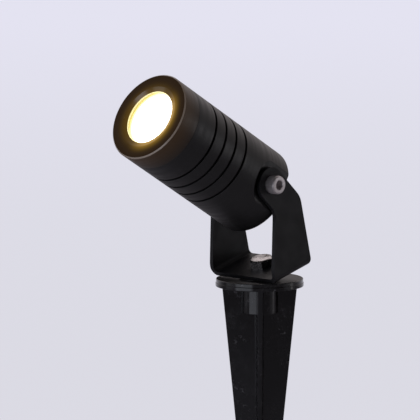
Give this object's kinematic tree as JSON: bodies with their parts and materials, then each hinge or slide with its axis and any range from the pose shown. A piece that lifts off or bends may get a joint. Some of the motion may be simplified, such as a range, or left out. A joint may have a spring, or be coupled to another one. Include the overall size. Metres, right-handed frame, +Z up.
{
  "type": "garden spike spotlight",
  "caption": "Turned LED spotlight head tilting in a folded steel yoke, which turns on a finned ground spike pushed into soil.",
  "frame": {"origin": "centre of the spike flange's underside, at soil level, on the spike's axis", "axes": "+Z up along the spike's axis, -Y the way the lamp faces at rest, +X along the tilt pivot's axis"},
  "size_m": [0.0518, 0.1028, 0.2681],
  "materials": {
    "spike_plastic": "satin black moulded plastic, a little dusty",
    "seat_metal": "satin black anodised",
    "seal_rubber": "matt black silicone rubber",
    "spring_steel": "spring steel, oiled",
    "bracket_paint": "fine matt black powder coat on bent steel sheet",
    "bolt_steel": "plain stainless steel",
    "barrel_anodised": "satin black anodised, fine turning marks",
    "bezel_anodised": "satin black anodised, fine turning marks",
    "washer_plastic": "black nylon",
    "screw_steel": "plain stainless steel",
    "holder_plastic": "white moulded plastic",
    "lens_acrylic": "clear polished acrylic",
    "led_board_white": "white solder mask on an aluminium core",
    "led_phosphor": "warm white, lit",
    "small_screw_steel": "plain stainless steel",
    "thermal_pad": "soft grey silicone",
    "plate_aluminium": "turned, bare",
    "circuit_board": "green solder mask",
    "standoff_brass": "nickel free, bare",
    "transformer_tape": "yellow winding tape on a black bobbin",
    "capacitor_sleeve": "dark blue sleeve",
    "component_black": "moulded epoxy",
    "terminal_green": "moulded nylon",
    "lead_red": "silicone sleeve",
    "lead_black": "silicone sleeve",
    "gland_plastic": "black nylon",
    "front_glass": "clear tempered glass, polished"
  },
  "bodies": {
    "spike": {"spike": "spike_plastic"},
    "yoke": {"swivel_seat": "seat_metal", "swivel_o_ring": "seal_rubber", "swivel_snap_ring": "spring_steel", "yoke_bracket": "bracket_paint", "yoke_bolt": "bolt_steel"},
    "head": {"barrel": "barrel_anodised", "pivot_washers": "washer_plastic", "pivot_screws": "screw_steel", "bezel": "bezel_anodised", "bezel_o_ring": "seal_rubber", "glass_gasket": "seal_rubber", "front_glass": "front_glass", "lens_holder": "holder_plastic", "lens": "lens_acrylic", "led_board": "led_board_white", "led_emitter": "led_phosphor", "led_board_screws": "small_screw_steel", "thermal_pad": "thermal_pad", "heat_plate": "plate_aluminium", "driver_board": "circuit_board", "driver_standoffs": "standoff_brass", "driver_screws": "small_screw_steel", "driver_transformer": "transformer_tape", "driver_capacitor": "capacitor_sleeve", "driver_rectifier": "component_black", "driver_terminal": "terminal_green", "lead_positive": "lead_red", "lead_negative": "lead_black", "gland_washer": "seal_rubber", "gland_body": "gland_plastic", "gland_seal": "seal_rubber", "gland_nut": "gland_plastic"}
  },
  "joints": [
    {"name": "yoke_turn", "type": "hinge", "parent": "spike", "child": "yoke", "pos_m": [0, 0, 0.0035], "axis": [0, 0, 1], "continuous": true},
    {"name": "head_tilt", "type": "hinge", "parent": "yoke", "child": "head", "pos_m": [0, -0.014, 0.0504], "axis": [-1, 0, 0], "range_deg": [-50, 75]}
  ]
}
